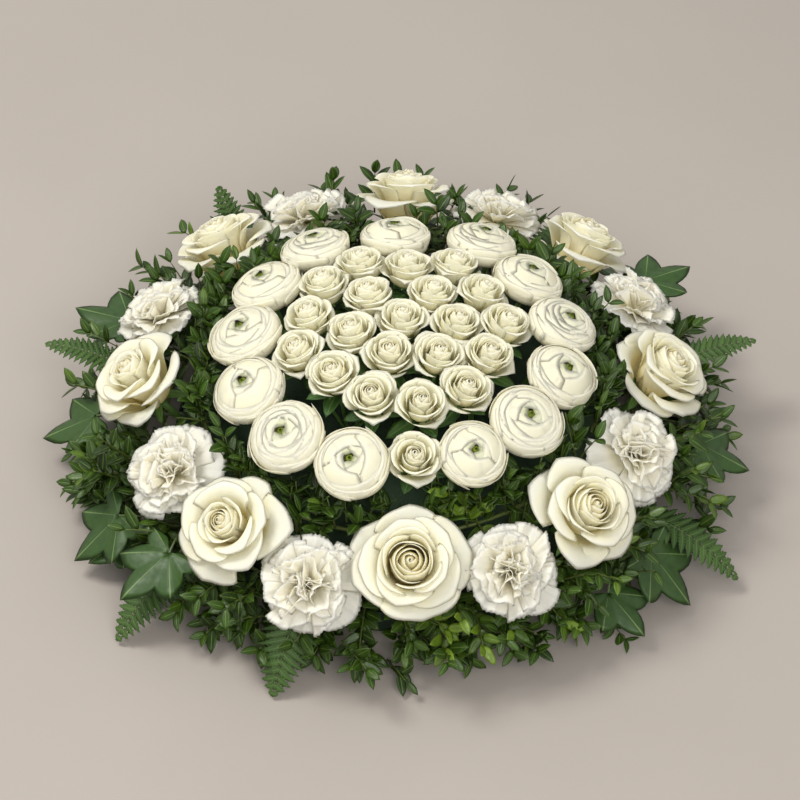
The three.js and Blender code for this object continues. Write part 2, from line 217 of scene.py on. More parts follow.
class Cloth:
    """Collects thin closed sheets and tubes, with four numbers on each vertex for the material."""

    def __init__(self):
        self.points, self.quads, self.marks, self.count = [], [], [], 0

    def add(self, points, quads, marks):
        self.points.append(np.asarray(points, float))
        self.marks.append(np.asarray(marks, float))
        self.quads.append(np.asarray(quads, int) + self.count)
        self.count += len(points)

    def join(self, other):
        """Takes in all that another Cloth holds."""
        for points, quads, marks in zip(other.points, other.quads, other.marks):
            self.points.append(points)
            self.marks.append(marks)
            self.quads.append(quads + self.count)
        self.count += other.count

    def placed(self, centre, frame_axes):
        """The same sheets turned and moved: columns of frame_axes are where x, y and z go."""
        moved = Cloth()
        moved.count = self.count
        moved.quads, moved.marks = list(self.quads), list(self.marks)
        moved.points = [p @ np.asarray(frame_axes).T + centre for p in self.points]
        return moved

    def sheet(self, grid, thick, marks):
        """A closed sheet from an n by m grid of points: two skins that meet at the edge."""
        n, m = grid.shape[:2]
        normal = unit(np.cross(np.gradient(grid, axis=0), np.gradient(grid, axis=1)))
        top = np.arange(n * m).reshape(n, m)
        under = top.copy()
        under[1:-1, 1:-1] = np.arange((n - 2) * (m - 2)).reshape(n - 2, m - 2) + n * m
        lift = np.zeros((n, m, 1))
        lift[1:-1, 1:-1] = thick / 2
        upper, lower = grid + normal * lift, grid - normal * lift
        marks = np.broadcast_to(marks, (n, m, 4))
        faces = []
        for index, step in ((top, 1), (under, -1)):
            quad = np.stack([index[:-1, :-1], index[1:, :-1], index[1:, 1:], index[:-1, 1:]], -1)
            faces.append(quad.reshape(-1, 4)[:, ::step])
        self.add(
            np.concatenate([upper.reshape(-1, 3), lower[1:-1, 1:-1].reshape(-1, 3)]),
            np.concatenate(faces),
            np.concatenate([marks.reshape(-1, 4), marks[1:-1, 1:-1].reshape(-1, 4)]),
        )

    def tube(self, path, radii, sides=6, marks=WOOD):
        """A round stem along a path, closed at both ends by a point."""
        path, radii = np.asarray(path, float), np.broadcast_to(radii, len(path))
        along = unit(np.gradient(path, axis=0))
        side = unit(np.cross(along, [0.31, 0.17, 0.93]))  # any direction that no stem has
        other = np.cross(along, side)
        turn = FULL * np.arange(sides) / sides
        ring = np.cos(turn)[None, :, None] * side[:, None] + np.sin(turn)[None, :, None] * other[:, None]
        rings = path[:, None] + ring * radii[:, None, None]
        points = np.concatenate([rings.reshape(-1, 3), path[:1], path[-1:]])
        k = np.arange(len(path) * sides).reshape(len(path), sides)
        nxt = np.roll(k, -1, axis=1)
        start = np.full(sides, len(path) * sides)
        faces = [np.stack([k[:-1], nxt[:-1], nxt[1:], k[1:]], -1).reshape(-1, 4)]
        faces.append(np.stack([nxt[0], k[0], start, start], -1))
        faces.append(np.stack([k[-1], nxt[-1], start + 1, start + 1], -1))
        self.add(points, np.concatenate(faces), np.broadcast_to(marks, (len(points), 4)))

    def twig(self, start, end, radius, sides=6, sag=(0, 0, 0)):
        """A stem from one point to another, its middle moved by sag."""
        self.tube([start, (start + end) / 2 + np.asarray(sag, float), end], radius, sides)

    def make(self, name, material):
        """The Blender mesh of it all. A quad whose last two corners are the same becomes a triangle."""
        points = np.concatenate(self.points)
        low = points[:, 2] < TABLE_GAP
        points[low, 2] = TABLE_GAP * np.exp(points[low, 2] / TABLE_GAP - 1)
        points *= MM
        quads = np.concatenate(self.quads)
        three = quads[:, 2] == quads[:, 3]
        starts = np.concatenate([[0], np.cumsum(np.where(three, 3, 4))])
        keep = np.ones_like(quads, bool)
        keep[three, 3] = False
        mesh = bpy.data.meshes.new(name)
        mesh.vertices.add(len(points))
        mesh.vertices.foreach_set("co", points.astype(np.float32).ravel())
        mesh.loops.add(int(starts[-1]))
        mesh.loops.foreach_set("vertex_index", quads[keep].astype(np.int32))
        mesh.polygons.add(len(quads))
        mesh.polygons.foreach_set("loop_start", starts[:-1].astype(np.int32))
        mesh.polygons.foreach_set("use_smooth", np.ones(len(quads), bool))
        layer = mesh.attributes.new("marks", "FLOAT_COLOR", "POINT")
        layer.data.foreach_set("color", np.concatenate(self.marks).astype(np.float32).ravel())
        mesh.update(calc_edges=True)
        mesh.validate()
        mesh.materials.append(material)
        piece = bpy.data.objects.new(name, mesh)
        bpy.context.scene.collection.objects.link(piece)
        return piece


# ---------------------------------------------------------------- petals

# One petal: four (radius, height) points from the stem to its rim, or a function of the share of the way;
# half its spread in radians; its place in the flower, 0 in the heart to 1 outside; its grid's size; and how
# far its sides roll out and its rim waves.
Petal = namedtuple("Petal", "curve half layer shape roll wave", defaults=(0.0, 0.0))
CLOSED = 3.2  # half the spread of a petal that goes all the way round


def cup_petal(curve, turn, half, shape, lean, corner, tip=0.04, roll=0.0, wave=0.0, phase=0.0):
    """The grid of a petal wrapped round the flower's axis. One side leans out further than the other, both
    sides roll outwards, and the rim waves. corner rounds the rim's sides, and tip draws out its middle."""
    u, v = spread(*shape)
    v = 1 - (1 - v) ** 1.35
    t = v * (1 - corner * np.abs(u) ** 3 + tip * np.exp(-((u / 0.16) ** 2)))
    rz = curve(t) if callable(curve) else bezier([np.broadcast_to(p, t.shape + (2,)) for p in curve], t)
    grown = smooth(0.25, 1, t)
    rolled = roll * np.abs(u) ** 4 * grown
    radius = rz[..., 0] + lean * u * grown + rolled + wave * np.sin(3.3 * u + phase) * t**3
    radius = np.maximum(radius, 0.25)
    height = rz[..., 1] - 0.35 * rolled + 0.7 * wave * np.sin(4.1 * u + 2 * phase) * t**4
    angle = turn + u * half * (0.42 + 0.58 * smooth(0, 0.6, t))
    grid = np.stack([radius * np.cos(angle), radius * np.sin(angle), height], -1)
    return grid, np.broadcast_to(u, t.shape), t


def mark(u, t, layer, tint):
    """What the materials read: height up the petal, place in the flower, own shade, nearness to the sides."""
    return np.stack([t, np.full_like(t, layer), np.full_like(t, tint), np.abs(u)], -1)


def scaled(points, k):
    return [(r * k, h * k) for r, h in points]


def rose(rng, size, openness):
    """A large rose: a tight spiral heart, thick petals round it, and broad outer petals that lie open."""
    flower = Cloth()
    k = size / ROSE_DRAWN
    stem = (2, -25)
    outside = 5
    petals = []
    for q in np.linspace(0, 1, 12):
        rim, top = (0.3 + 12.2 * q**1.1) * openness, 20.5 - 3 * q
        belly = rim + 4.5 - 3 * q
        curve = [stem, (belly + 5, -20), (belly + 0.5, top - 7), (rim, top)]
        half = CLOSED if q < 0.15 else min(1.5, 15 / rim)
        petals.append(Petal(curve, half, 0.55 * q, (13, 9), roll=0.5 * q, wave=0.7 * q))
    for q in np.linspace(0, 1, 6):
        rim, top = (14.5 + 8.5 * q) * openness, 17.5 - 3.5 * q
        curve = [stem, (rim + 3 - 4 * q, -21), (rim - 3.4 - 4.5 * q, top - 5 + 5 * q), (rim, top)]
        petals.append(Petal(curve, 1.15 - 0.15 * q, 0.55 + 0.15 * q, (15, 11), roll=1 + q, wave=0.8))
    for q in np.linspace(0, 1, 6):
        rim, top = 26 + 9.5 * q, 13.5 - 7 * q
        curve = [stem, (17 + 3 * q, -23), (11.5 + 4 * q, top + 6), (rim, top)]
        petals.append(Petal(curve, 0.98 - 0.08 * q, 0.75 + 0.15 * q, (17, 12), roll=2.2, wave=1.3))
    for _ in range(outside):
        rim, top = rng.uniform(37.5, 42), rng.uniform(-12, 2)
        curve = [stem, (24, -27), (21, top + rng.uniform(9, 14)), (rim, top)]
        half = rng.uniform(0.72, 0.88)
        petals.append(Petal(curve, half, 1.0, (17, 11), roll=rng.uniform(-1, 2), wave=rng.uniform(1.2, 2.6)))
    for i, petal in enumerate(petals):
        outer = i >= len(petals) - outside
        turn = (i + rng.uniform(-0.2, 0.2)) * FULL / outside if outer else 0.4 + i * GOLDEN
        rim, top = petal.curve[-1]
        loose_rim = (max(rim + rng.uniform(-0.5, 0.5), 0.3), top + rng.uniform(-1.3, 0.7))
        grid, u, t = cup_petal(
            scaled([*petal.curve[:-1], loose_rim], k),
            turn + rng.normal(0, 0.2),
            petal.half * rng.uniform(0.93, 1.08),
            petal.shape,
            lean=(0.7 + 0.03 * rim) * k,
            roll=petal.roll * k * rng.uniform(0.5, 1.2),
            wave=petal.wave * k * rng.uniform(0.5, 1.3),
            tip=0.03,
            corner=rng.uniform(0.1, 0.2),
            phase=rng.uniform(*ANY_TURN),
        )
        flower.sheet(grid, ROSE_THICK, mark(u, t, petal.layer, rng.uniform(0, 1)))
    return flower


def carnation(rng, size):
    """A carnation: wide fans with pinked edges lie open outside, and the heart is crumpled and upright."""
    flower = Cloth()
    k = size / CARNATION_DRAWN
    count = 38
    for i in range(count):
        s = (i / (count - 1)) ** 1.25
        inner = 1 - s
        u, v = spread(*((25, 8) if s > 0.35 else (19, 7)))
        v = (1 - (1 - v) ** 1.3) * np.ones_like(u)
        reach = (21.5 + 14 * s + rng.uniform(-2.5, 1.5 + 3 * s)) * k
        lift = math.radians(98 - 98 * s**0.8 + rng.uniform(-12, 12))
        teeth = 9 + round(5 * s)
        saw = np.abs((((u * 0.5 + 0.5) * teeth + 0.3) % 1) - 0.5) * 2 - 0.5
        length = v * (1 - 0.24 * u**2) * reach + saw * (0.5 + 0.8 * s) * k * v**7 * rng.uniform(0.5, 1.3)
        side = u * (11.5 + 8 * s) * k * (0.16 + 0.84 * v**1.1)
        # Broad soft pleats at the outside, and deep folds in the heart.
        pleats = rng.uniform(0.9, 1.7)
        wave = np.sin(math.pi * pleats * u + rng.uniform(*ANY_TURN)) * (1.1 + 3.0 * inner) * k * v**1.5
        wave += np.sin(math.pi * 3.3 * u + rng.uniform(*ANY_TURN)) * (0.6 + 0.7 * s) * k * v**2.5
        wave += np.sin(math.pi * 7.1 * u + rng.uniform(*ANY_TURN)) * (0.25 + 0.45 * s) * k * v**4
        wave += inner * rng.uniform(-9, 9) * k * u**2 * v + inner * rng.uniform(-5, 5) * k * u * v**2
        curl = rng.uniform(-1, 2) * k * v**2 - s**2 * 6 * k * v**3
        shift = (rng.uniform(-3, 5) + 4.5 * v**3) * inner * k
        x = length * math.cos(lift) - wave * math.sin(lift) + shift
        z = length * math.sin(lift) + wave * math.cos(lift) + curl - (13 - 2 * s) * k
        twist = rng.normal(0, 0.8) * inner
        x, y = x + side * math.sin(twist), side * math.cos(twist)
        turn = i * GOLDEN + rng.normal(0, 0.18)
        x, y = x * math.cos(turn) - y * math.sin(turn), x * math.sin(turn) + y * math.cos(turn)
        marks = mark(u * np.ones_like(v), v, s, rng.uniform(0, 1))
        flower.sheet(np.stack([x, y, z], -1), CARNATION_THICK, marks)
    return flower


def shell(radius, crown, stop):
    """A petal's side view on a round bloom: from the stem over the belly, and in to the radius stop."""
    first, last = -1.5, math.acos(min(stop / radius, 1))

    def curve(t):
        turn = first + (last - first) * t
        rise = np.where(turn > 0, crown + 1.5, 12.5)
        return np.stack([radius * np.cos(turn), rise * np.sin(turn) - 1.5], -1)

    return curve


def ranunculus(rng, size, cover, rims):
    """A ranunculus: smooth petals that close over round a small green button, and thin rims outside them."""
    flower = Cloth()
    k = size / RANUNCULUS_DRAWN
    off = rng.normal(0, 0.9, 2) * k
    stops = [2.0, 2.3, 2.7, 3.3, 4.2, 5.2]
    stops += list(np.linspace(7.5, 10.5, 3) * rng.uniform(0.8, 1.2))
    stops += list(np.linspace(cover * RANUNCULUS_DRAWN, 25.4, rims))
    petals = []
    for j, stop in enumerate(stops):
        q = j / (len(stops) - 1)
        curve = shell((23.4 + 3.4 * q) * k, (11.6 + 1.0 * q) * k, stop * k)
        petals.append(Petal(curve, min(1.35, 24 / stop), stop / 26, (9, 9) if stop < 6 else (13, 9)))
    outside = 7
    for _ in range(outside):
        top, rim = 2 + rng.uniform(-3.5, 3.5), 26 + rng.uniform(-1, 1.5)
        points = [(1.5, -14), (25, -15), (28, top - 7), (rim, top)]
        petals.append(Petal(scaled(points, k), 0.72, 1.0, (13, 9)))
    for i, petal in enumerate(petals):
        outer = i >= len(petals) - outside
        grid, u, t = cup_petal(
            petal.curve,
            i * (FULL / outside if outer else GOLDEN) + rng.normal(0, 0.15),
            petal.half * rng.uniform(0.92, 1.1),
            petal.shape,
            lean=(0.2 + 0.35 * petal.layer) * k,
            roll=rng.uniform(0, 1.3 if outer else 0.3) * k,
            wave=(0.9 if outer else 0.45 * petal.layer) * k * rng.uniform(0.3, 1.3),
            tip=0.0,
            corner=rng.uniform(0.05, 0.12),
            phase=rng.uniform(*ANY_TURN),
        )
        grid[..., :2] += off * (1 - petal.layer) * smooth(0.5, 1, t)[..., None]
        flower.sheet(grid, RANUNCULUS_THICK, mark(u, t, petal.layer, rng.uniform(0, 1)))
    # The button: three rounds of tiny green scales.
    for j in range(3):
        scales = 9 - 2 * j
        foot, crown = (2.7 - 0.75 * j) * k, (10.8 + 0.6 * j) * k
        lower = [(foot * 0.9, 3 * k), (foot + 0.4 * k, crown - 3 * k)]
        curve = lower + [(foot + 0.3 * k, crown), (foot * 0.5, crown)]
        for i in range(scales):
            grid, u, t = cup_petal(curve, i * FULL / scales + 0.4 * j, 0.55, (4, 6), lean=0.1 * k, corner=0.3)
            grid[..., :2] += off * 0.8
            flower.sheet(grid, SCALE_THICK, mark(u, t, -1.0, j / 2))
    return flower


def spray_rose(rng, size):
    """A small rose of a spray: a round bud with thick rims, in a cup of pointed outer petals."""
    flower = Cloth()
    k = size / SPRAY_DRAWN
    openness = rng.uniform(0.85, 1.1)
    stem = (1, -13)
    outside = 4
    petals = []
    for q in np.linspace(0, 1, 9):
        rim, top = (0.6 + 4.6 * q) * openness, 11 - 1.4 * q
        curve = [stem, (rim + 6, -10), (rim + 2.4 - 1.2 * q, top - 4), (rim, top)]
        petals.append(Petal(curve, CLOSED if q < 0.2 else min(1.5, 7.5 / rim), 0.4 * q, (9, 8)))
    for q in np.linspace(0, 1, 6):
        rim, top = (6 + 5.6 * q) * openness, 9.6 - 2.6 * q
        curve = [stem, (rim + 3.2, -11), (rim - 1.6 - 1.8 * q, top - 3.4 + 2.4 * q), (rim, top)]
        petals.append(Petal(curve, 1.15 - 0.15 * q, 0.5 + 0.2 * q, (10, 8)))
    for q in np.linspace(0, 1, 5):
        rim, top = 12.6 + 3 * q, 6.4 - 2.6 * q
        curve = [stem, (13, -12), (8.5 + 2 * q, top + 2.4), (rim, top)]
        petals.append(Petal(curve, 0.98, 0.75 + 0.1 * q, (11, 9)))
    for _ in range(outside):
        top = rng.uniform(-3, 2.5)
        curve = [stem, (14, -13), (12, top + 3), (17 + rng.uniform(-0.8, 1), top)]
        petals.append(Petal(curve, 0.86, 1.0, (11, 8)))
    for i, petal in enumerate(petals):
        outer = i >= len(petals) - outside
        grid, u, t = cup_petal(
            scaled(petal.curve, k),
            i * (FULL / outside if outer else GOLDEN) + rng.normal(0, 0.18),
            petal.half * rng.uniform(0.92, 1.08),
            petal.shape,
            lean=(0.5 + 0.3 * petal.layer) * k,
            roll=(0.3 + 0.9 * petal.layer) * k * rng.uniform(0.3, 1.2),
            wave=0.6 * petal.layer * k * rng.uniform(0.4, 1.4),
            tip=0.05 + 0.04 * outer,
            corner=0.2,
            phase=rng.uniform(*ANY_TURN),
        )
        flower.sheet(grid, SPRAY_THICK, mark(u, t, petal.layer, rng.uniform(0, 1)))
    return flower


# ---------------------------------------------------------------- leaves

BLOOMS = []  # middle, facing and size of every flower, and of every leaf that the boxwood keeps clear of


def in_flower(points):
    """Whether a leaf cuts into a bloom, or stands over the middle of its face."""
    for centre, axis, size in BLOOMS:
        off = (points - centre).reshape(-1, 3) / size
        high = off @ axis
        wide = np.linalg.norm(off - high[:, None] * axis, axis=1)
        cuts = wide**2 + ((high + 0.12) / 0.78) ** 2 < 1.27
        hides = (wide < 0.72) & (high > 0) & (high < 1.6)
        if (cuts | hides).any():
            return True
    return False


def oval_leaf(length, width, curl=0.12, fold=0.25, shape=(5, 6)):
    """A leaf along +X with +Z its upper face, folded a little along its midrib."""
    u, v = spread(*shape)
    outline = np.maximum(np.sin(math.pi * v**0.9), 0) ** 0.72 * (1 - 0.15 * v)
    x = length * v * np.ones_like(u)
    y = u * width / 2 * outline
    z = fold * np.abs(y) - curl * length * v**2
    return np.stack([x, y, z], -1), u * np.ones_like(v), v * np.ones_like(u)


def laid(grid, base, along, face):
    """A leaf grid moved to a base point, pointing along a direction, its upper face towards another."""
    x = unit(along)
    y = unit(np.cross(face, x))
    return grid @ np.stack([x, y, np.cross(x, y)], 0) + base


def box_shoot(foliage, rng, foot, tip, bend, roll, gap=8.5, bare=0.22, fresh=0.0):
    """A boxwood shoot: pairs of leaves, each pair turned from the last, and a tuft at the tip. It stops where
    it comes to a flower. gap is the space between pairs, and bare the share of the shoot without leaves."""
    straight = tip - foot
    rise = square_to(straight)
    steps = 8
    t = np.linspace(0, 1, steps)
    path = bezier([foot, foot + 0.35 * straight + rise * bend, foot + 0.7 * straight + rise * bend, tip], t)
    free = next((k for k, point in enumerate(path) if in_flower(point[None])), steps)
    if free < 3:
        return
    path, t = path[:free], np.linspace(0, 1, free)
    foliage.tube(path, np.linspace(0.95, 0.45, free), sides=4)
    length = np.linalg.norm(straight) * free / steps
    pairs = max(2, int((1 - bare) * length / gap))
    shade = rng.uniform(0, 1)
    for j in range(pairs + 1):
        at = bare + (1 - bare) * j / pairs
        here, ahead = along_path(path, t, at)
        turned = roll + (j % 2) * 1.3
        flat = unit(np.cross(ahead, rise))
        upper = np.cross(flat, ahead)
        side = flat * math.cos(turned) + upper * math.sin(turned)
        young = at > 0.85
        size = BOX_LEAF * (0.8 if young else 1.0) * rng.uniform(0.82, 1.1)
        for sign in (-1, 1):
            lean = rng.uniform(0.75, 1.05) * (0.72 if young else 1.0)
            way = ahead * math.cos(lean) + sign * side * math.sin(lean) + 0.12 * rng.normal(size=3)
            face = ahead * math.sin(lean) * 0.9 + upper * 0.6 - sign * side * math.cos(lean) * 0.4
            grid, u, v = oval_leaf(size, size * BOX_PLUMP * rng.uniform(0.92, 1.1), rng.uniform(-0.04, 0.16))
            grid = laid(grid, here, way, unit(face) + 0.3 * UP)
            if in_flower(grid):
                continue
            age = fresh + 0.35 * shade + 0.25 * rng.uniform(0, 1) + 0.2 * young
            foliage.sheet(grid, LEAF_THICK, mark(u, v, min(age, 1.0), rng.uniform(0, 1)))


def fern_frond(foliage, rng, base, end, width, bend):
    """A frond: leaflets with toothed sides, in pairs along a rib."""
    straight = end - base
    length = np.linalg.norm(straight)
    face = square_to(straight)
    t = np.linspace(0, 1, 9)
    path = base + straight * t[:, None] + face * (4 * bend * t * (1 - t))[:, None]
    foliage.tube(path, np.linspace(0.9, 0.3, 9), sides=4)
    u, v = spread(5, 16)
    for j in range(FERN_PAIRS + 1):
        at = (j + 0.4) / (FERN_PAIRS + 0.6)
        here, ahead = along_path(path, t, at)
        half = width / 2 * min(1, 0.62 + 1.5 * at) * (1 - at**2.2) ** 0.8 + 2.5
        upper = square_to(ahead, face)
        flat = np.cross(ahead, upper)
        for sign in (-1, 1):
            reach = half * rng.uniform(0.96, 1.04)
            teeth = max(3, round(reach / 3.0))
            notch = 0.55 + 0.45 * np.abs(np.sin(math.pi * (v * teeth + 0.15 * sign)))
            breadth = length / FERN_PAIRS * 0.7 * (1 - v**2.5) * notch * (1 - 0.25 * (1 - v) ** 4)
            x = reach * v * np.ones_like(u)
            y = u * breadth + 0.16 * reach * v**2
            z = 0.18 * np.abs(y) - 0.1 * reach * v**2
            grid = np.stack([x, y * -sign, z], -1)[::-sign]
            grid = laid(grid, here, flat * sign * 0.82 + ahead * 0.55, upper)
            marks = mark(u * np.ones_like(v), v * np.ones_like(u), 0.3 * at, rng.uniform(0, 1))
            foliage.sheet(grid, FERN_THICK, marks)


def ivy_leaf(rng, length):
    """A five-lobed leaf along +X with veins that spread from its foot. The last mark is 1 on a vein."""
    lobes = IVY_LOBES + [(-angle, reach) for angle, reach in IVY_LOBES[-2::-1]]
    steps = 4
    angles, reach, vein = [], [], []
    for (a0, r0), (a1, r1) in zip(lobes[:-1], lobes[1:]):
        from_tip = r0 > r1
        for k in range(steps):
            s = k / steps
            bulge = 0.045 * math.sin(math.pi * s)
            angles.append(a0 + (a1 - a0) * s)
            reach.append(r0 + (r1 - r0) * (s**0.8 if from_tip else s**1.25) + bulge)
            vein.append(float(k == 0 and from_tip))
    angle = np.radians([*angles, lobes[-1][0]])[:, None]
    reach, vein = np.array([*reach, lobes[-1][1]])[:, None], np.array([*vein, 0.0])[:, None]
    t = np.linspace(0.02, 1, 8)[None, :]
    x = length * (reach * t * np.cos(angle) * 0.86 + 0.14)
    y = length * reach * t * np.sin(angle) * 0.86
    ripple = np.cos(angle * 7.2 + rng.uniform(-0.5, 0.5)) * 0.03 * t**2
    droop = 0.1 * (t * reach) ** 2 * rng.uniform(0.3, 1.2)
    z = length * (ripple - droop - 0.0175 * (1 - vein) * t)
    tint = rng.uniform(0, 1)
    marks = np.stack([t * np.ones_like(reach), np.full_like(x, 0.4), np.full_like(x, tint), vein + 0 * t], -1)
    return np.stack([x, y, z], -1), marks


def flower_green(rng, reach, stem, radius, height, length, rise=0.1):
    """The stem, receptacle and sepals under a flower whose bloom is centred at the origin. reach is the
    stem's length, radius and height the receptacle's, length the sepals', and rise how far they point up."""
    green = Cloth()
    green.tube([(0, 0, -reach), (0, 0, -reach / 2), (0, 0, height - 4)], stem, sides=8)
    swell = np.array([stem, radius * 0.75, radius, radius * 0.9, radius * 0.4])
    path = [(0, 0, height - 5 + 2.2 * k * radius / 5) for k in range(5)]
    green.tube(path, swell, sides=12, marks=(0.2, 0.4, 0.5, 1))
    sepals = 5
    for i in range(sepals):
        turn = FULL * i / sepals + rng.uniform(-0.15, 0.15)
        out = np.array([math.cos(turn), math.sin(turn), 0])
        grid, u, v = oval_leaf(length, length * 0.32, 0.3 + rng.uniform(-0.15, 0.15), shape=(5, 8))
        base = out * radius * 0.6 + UP * (height + radius * 0.3)
        grid = laid(grid, base, out * 0.95 + UP * rise, UP - out * 0.5)
        green.sheet(grid, LEAF_THICK, mark(u, v, 0.5, rng.uniform(0, 1)))
    return green


# ---------------------------------------------------------------- materials


class Look:
    """A material's nodes, added one at a time. A value can be a number, a colour or another node's socket."""

    def __init__(self, name):
        self.material = bpy.data.materials.new(f"{name}_look")
        self.material["slot"] = name
        self.material.use_nodes = True
        self.tree = self.material.node_tree
        self.shader = self.tree.nodes["Principled BSDF"]

    def put(self, socket, value):
        if isinstance(value, bpy.types.NodeSocket):
            self.tree.links.new(value, socket)
        elif isinstance(value, tuple) and len(value) == 3 and socket.type == "RGBA":
            socket.default_value = (*value, 1.0)
        else:
            socket.default_value = value

    def node(self, kind, inputs, **settings):
        node = self.tree.nodes.new(kind)
        for name, value in settings.items():
            setattr(node, name, value)
        for name, value in inputs.items():
            self.put(node.inputs[name], value)
        return node

    def marks(self):
        read = self.node("ShaderNodeAttribute", {}, attribute_type="GEOMETRY", attribute_name="marks")
        split = self.node("ShaderNodeSeparateColor", {0: read.outputs["Color"]})
        return split.outputs[0], split.outputs[1], split.outputs[2], read.outputs["Alpha"]

    def place(self):
        return self.node("ShaderNodeTexCoord", {}).outputs["Object"]

    def math(self, operation, a, b):
        return self.node("ShaderNodeMath", {0: a, 1: b}, operation=operation).outputs[0]

    def ramp(self, value, lo, hi, start=0.0, stop=1.0):
        """start at lo, stop at hi, and an even S between them."""
        inputs = {"Value": value, "From Min": lo, "From Max": hi, "To Min": start, "To Max": stop}
        return self.node("ShaderNodeMapRange", inputs, interpolation_type="SMOOTHSTEP").outputs[0]

    def mix(self, share, a, b):
        return self.node("ShaderNodeMix", {0: share, 6: a, 7: b}, data_type="RGBA").outputs[2]

    def noise(self, vector, scale, detail=3.0, rough=0.55):
        inputs = {"Vector": vector, "Scale": scale, "Detail": detail, "Roughness": rough}
        return self.node("ShaderNodeTexNoise", inputs).outputs[0]

    def vector(self, x, y, z):
        return self.node("ShaderNodeCombineXYZ", {0: x, 1: y, 2: z}).outputs[0]

    def bump(self, height, depth, strength):
        inputs = {"Height": height, "Distance": depth, "Strength": strength}
        normal = self.node("ShaderNodeBump", inputs).outputs[0]
        self.put(self.shader.inputs["Normal"], normal)
        return normal

    def finish(self, colour, roughness, specular=0.5):
        self.put(self.shader.inputs["Base Color"], colour)
        self.put(self.shader.inputs["Roughness"], roughness)
        self.put(self.shader.inputs["Specular IOR Level"], specular)
        return self.material

    def let_through(self, colour, share, normal):
        """Gives the finished surface a share of light that comes through from its far side."""
        through = self.node("ShaderNodeBsdfTranslucent", {"Color": colour, "Normal": normal})
        both = self.node("ShaderNodeMixShader", {0: share, 1: self.shader.outputs[0], 2: through.outputs[0]})
        self.put(self.tree.nodes["Material Output"].inputs["Surface"], both.outputs[0])


def petal_look(name, outer, heart, warm_base_and_gap_shade, foot, rim, foot_top=0.3, green_button=False):
    """Thin petals: warmer in the heart, green at the foot, with fine veins up to the rim, and darker and
    warmer low down between the petals, which is partly their own warmer base and partly painted warm shade.
    """
    look = Look(name)
    t, layer, tint, side = look.marks()
    finer = [look.math("MULTIPLY", value, times) for value, times in ((side, 26), (t, 3), (tint, 40))]
    veins = look.noise(look.vector(*finer), 1.0)
    clouds = look.noise(look.place(), 70.0)
    colour = look.mix(look.ramp(layer, 0.05, 0.75), heart, outer)
    # Painted warm shade: low on each petal, down between the petals, the colour goes darker and warmer. This
    # is partly the petals' own warmer base and partly painted shade of the gaps between them.
    down = look.math("MULTIPLY", look.ramp(t, 0.78, 0.3), look.ramp(tint, 0.0, 1.0, 0.55, 1.0))
    colour = look.mix(down, colour, warm_base_and_gap_shade)
    colour = look.mix(look.ramp(t, foot_top, 0.04), colour, foot)
    colour = look.mix(look.ramp(clouds, 0.42, 0.68, 0.0, 0.3), colour, heart)
    colour = look.mix(look.ramp(veins, 0.5, 0.8, 0.0, 0.22), colour, warm_base_and_gap_shade)
    colour = look.mix(look.ramp(t, 0.86, 1.0, 0.0, 0.65), colour, rim)
    if green_button:
        near = look.math("MULTIPLY", look.ramp(layer, 0.16, 0.0), look.ramp(t, 0.84, 1.0))
        colour = look.mix(look.math("MULTIPLY", near, 0.8), colour, (0.66, 0.74, 0.16))
        scale = look.mix(look.ramp(tint, 0.2, 0.9), (0.42, 0.5, 0.06), (0.2, 0.3, 0.03))
        colour = look.mix(look.math("LESS_THAN", layer, -0.5), colour, scale)
    normal = look.bump(veins, 0.0005, 0.35)
    look.finish(colour, look.ramp(veins, 0.3, 0.7, 0.5, 0.68), specular=0.3)
    look.let_through(colour, 0.55, normal)
    return look.material


def leaf_look(name, dark, mid, fresh, vein, wood, smoothest=0.3, veins_marked=False):
    """Leaves coloured by age, with paler veins, blotches and fine side veins. wood is the twigs' colour.
    Where veins_marked, the last mark is 1 on a vein. Otherwise the one vein is the midrib, where it is 0, and
    the leaf's edges get a painted highlight in the vein colour."""
    look = Look(name)
    t, age, tint, side = look.marks()
    blotch = look.noise(look.place(), 160.0, 4.0)
    finer = [look.math("MULTIPLY", value, times) for value, times in ((side, 3), (t, 26))]
    stripes = look.noise(look.vector(*finer, tint), 1.0, 2.0)
    colour = look.mix(look.ramp(age, 0.05, 0.55), dark, mid)
    colour = look.mix(look.ramp(age, 0.6, 1.0), colour, fresh)
    colour = look.mix(look.ramp(blotch, 0.4, 0.7, 0.0, 0.4), colour, dark)
    colour = look.mix(look.ramp(tint, 0.55, 1.0, 0.0, 0.45), colour, mid)
    on_vein = look.ramp(side, 0.72, 1.0) if veins_marked else look.ramp(side, 0.13, 0.0)
    colour = look.mix(look.math("MULTIPLY", on_vein, 0.75), colour, vein)
    if not veins_marked:
        # Painted highlight: the edges of leaves without marked veins go paler, towards the vein colour,
        # standing in for the gloss along them.
        colour = look.mix(look.ramp(side, 0.8, 1.0, 0.0, 0.5), colour, vein)
    colour = look.mix(look.math("LESS_THAN", age, -0.5), colour, wood)
    height = look.math("ADD", look.math("MULTIPLY", stripes, 0.5), look.math("MULTIPLY", on_vein, -0.6))
    normal = look.bump(height, 0.0006, 0.5)
    look.finish(colour, look.ramp(blotch, 0.35, 0.7, smoothest, smoothest + 0.16), specular=0.42)
    look.let_through(colour, 0.12, normal)
    return look.material


def block_look(name, base, dark, scale, depth, roughness):
    """The foam's open cells, or the tray's slightly uneven plastic."""
    look = Look(name)
    grain = look.noise(look.place(), scale, 4.0, 0.65)
    colour = look.mix(look.ramp(grain, 0.35, 0.65), dark, base)
    look.bump(grain, depth, 0.6)
    return look.finish(colour, look.ramp(grain, 0.3, 0.7, roughness - 0.08, roughness + 0.08))


def table_look():
    """A plain pale surface that is a little uneven in colour."""
    look = Look("table")
    grain = look.noise(look.place(), 3.0)
    return look.finish(look.mix(look.ramp(grain, 0.3, 0.7), (0.34, 0.3, 0.262), (0.355, 0.314, 0.275)), 0.7)
